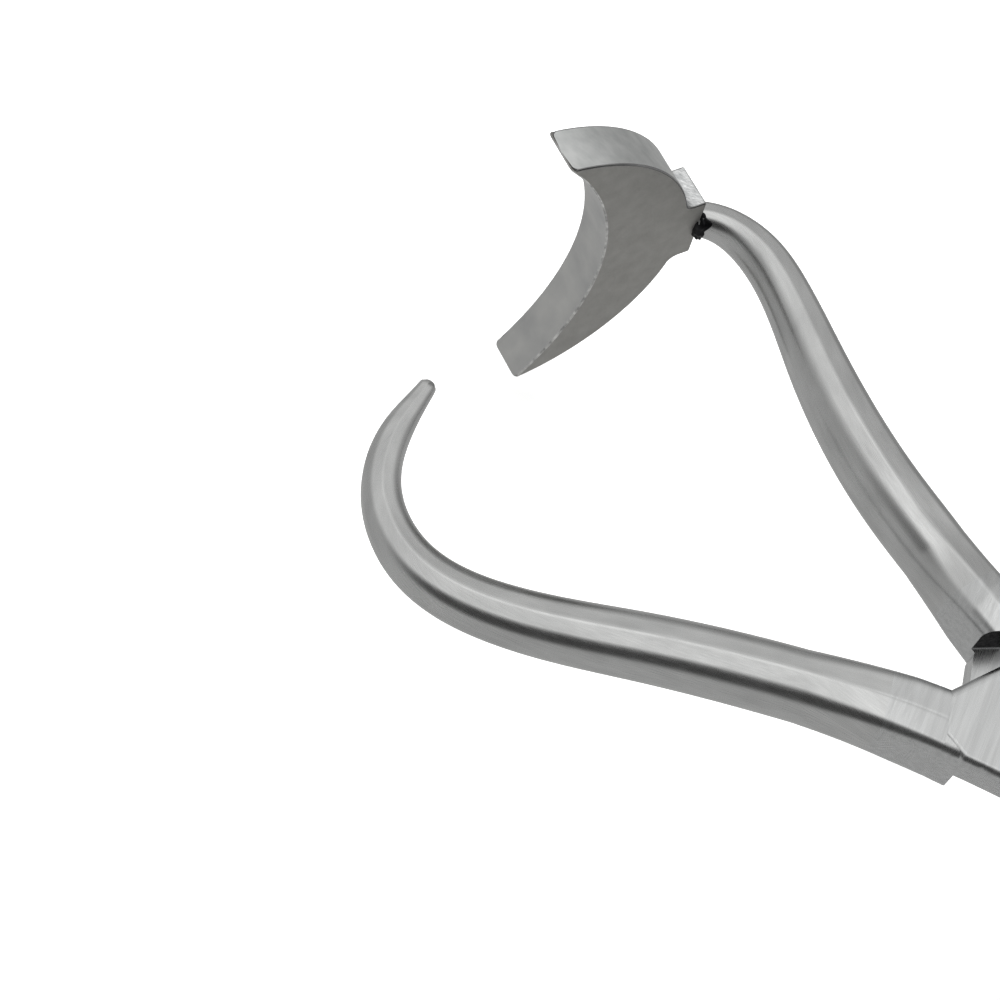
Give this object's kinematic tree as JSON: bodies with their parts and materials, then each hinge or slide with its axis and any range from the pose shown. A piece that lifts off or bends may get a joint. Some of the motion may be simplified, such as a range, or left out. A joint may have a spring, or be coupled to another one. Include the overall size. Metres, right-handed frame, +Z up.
{
  "type": "bone holding forceps",
  "caption": "Bone holding forceps with a hooked jaw against a crescent saddle jaw, a lap joint with a screw, and a threaded speed lock between the handles.",
  "frame": {"origin": "on the pivot axis, on the flat underside of the lap joint", "axes": "+X from the joint to the handles, +Z up along the pivot screw to its head, +Y to the side of the crescent jaw"},
  "size_m": [0.1899, 0.0956, 0.0416],
  "materials": {
    "satin_steel": "satin, brushed along the arms",
    "blasted_steel": "matt, bead blasted",
    "dark_steel": "oxidised weld",
    "polished_steel": "finely polished"
  },
  "bodies": {
    "hook_half": {"hook_arm": "satin_steel", "spindle_pin": "polished_steel"},
    "crescent_half": {"crescent_arm": "satin_steel", "crescent_jaw": "blasted_steel", "weld_bead": "dark_steel", "pivot_screw": "polished_steel"},
    "lock_spindle": {"spindle": "polished_steel", "spindle_stop": "polished_steel"},
    "lock_saddle": {"saddle_washer": "polished_steel"},
    "lock_nut": {"lock_nut": "polished_steel"}
  },
  "joints": [
    {"name": "main_pivot", "type": "hinge", "parent": "hook_half", "child": "crescent_half", "pos_m": [0, 0, 0.0038], "axis": [0, 0, 1], "range_deg": [-12, 18.5]},
    {"name": "spindle_tilt", "type": "hinge", "parent": "hook_half", "child": "lock_spindle", "pos_m": [0.09509, 0.02371, 0.0038], "axis": [0, 0, 1], "range_deg": [-6.1, 9.35]},
    {"name": "saddle_slide", "type": "slide", "parent": "lock_spindle", "child": "lock_saddle", "axis": [0, -1, 0], "range_m": [-0.0308, 0.02]},
    {"name": "nut_spin", "type": "hinge", "parent": "lock_saddle", "child": "lock_nut", "pos_m": [0.09509, -0.02371, 0.0038], "axis": [0, -1, 0], "range_deg": [-1850, 1200]}
  ],
  "couplings": [
    {"joint": "spindle_tilt", "follows": "main_pivot", "ratio": 0.5},
    {"joint": "saddle_slide", "follows": "main_pivot", "m_per_rad": -0.095089},
    {"joint": "nut_spin", "follows": "main_pivot", "ratio": -99.577}
  ]
}
